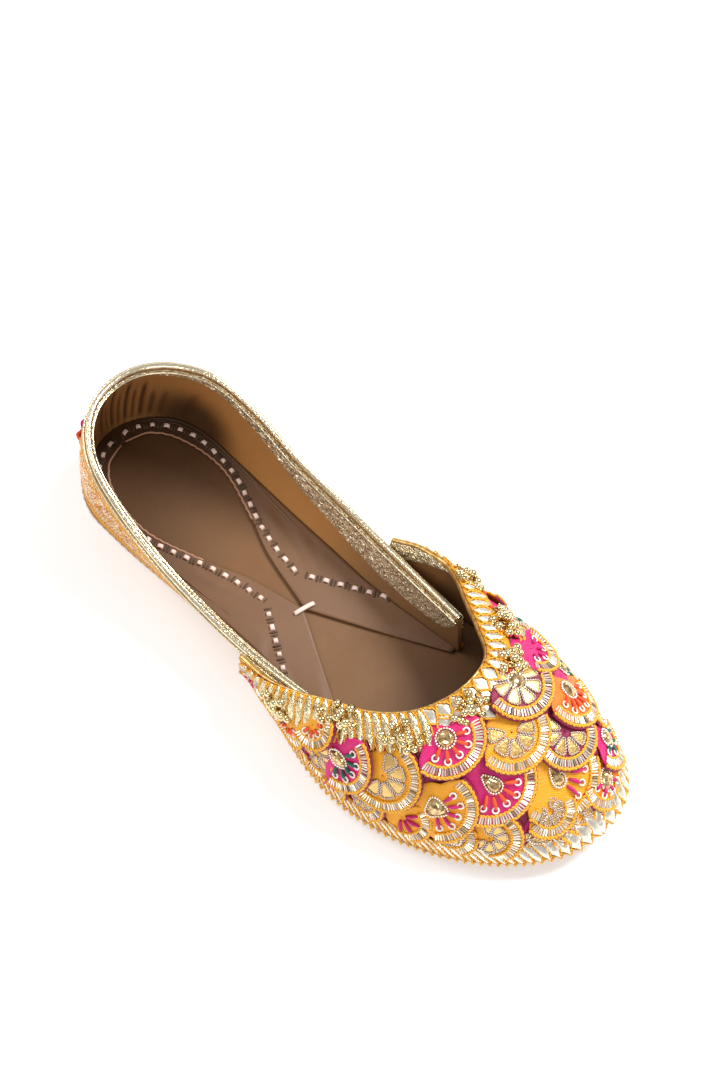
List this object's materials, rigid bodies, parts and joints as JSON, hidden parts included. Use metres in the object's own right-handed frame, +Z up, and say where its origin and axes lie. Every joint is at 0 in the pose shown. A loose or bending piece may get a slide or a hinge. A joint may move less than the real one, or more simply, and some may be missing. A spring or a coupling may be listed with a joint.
{
  "type": "mojari shoe",
  "caption": "Flat closed-toe mojari slip-on with an embroidered fish-scale vamp, bead clusters at the throat, gold-piped quarter and a thin leather sole.",
  "frame": {"origin": "middle of the shoe's box on the floor, under the sole", "axes": "+X to the toe, +Y to the big toe side of the right foot, +Z up"},
  "size_m": [0.2476, 0.091, 0.0526],
  "materials": {
    "sole_leather": "tan vegetable-tanned leather, cut and burnished edge",
    "insole_leather": "smooth brown leather, darker under the heel",
    "lining_leather": "soft brown leather, wrinkled where it turns in",
    "vamp_cloth": "embroidered marigold, magenta and gold fish-scale petals on cloth",
    "quarter_cloth": "gold and marigold thread embroidery on cloth",
    "gold_piping": "smooth metallic gold foil leather",
    "bead": "polished pale gold",
    "gold_foil": "crinkled metallic gold foil leather",
    "silver_braid": "silver metallic ribbon and coiled wire",
    "marigold_cord": "twisted silk cord",
    "magenta_cloth": "silk cloth and thread",
    "stone": "faceted champagne glass",
    "thong": "pale raw leather lace"
  },
  "bodies": {
    "root": {"outsole": "sole_leather", "insole": "insole_leather", "quarter": "quarter_cloth", "vamp": "vamp_cloth", "topline_piping": "gold_piping", "lining_flap": "lining_leather", "bead_cluster_1": "bead", "bead_cluster_2": "bead", "bead_cluster_3": "bead", "bead_cluster_4": "bead", "bead_cluster_5": "bead", "bead_cluster_6": "bead", "bead_cluster_7": "bead"}
  },
  "joints": []
}
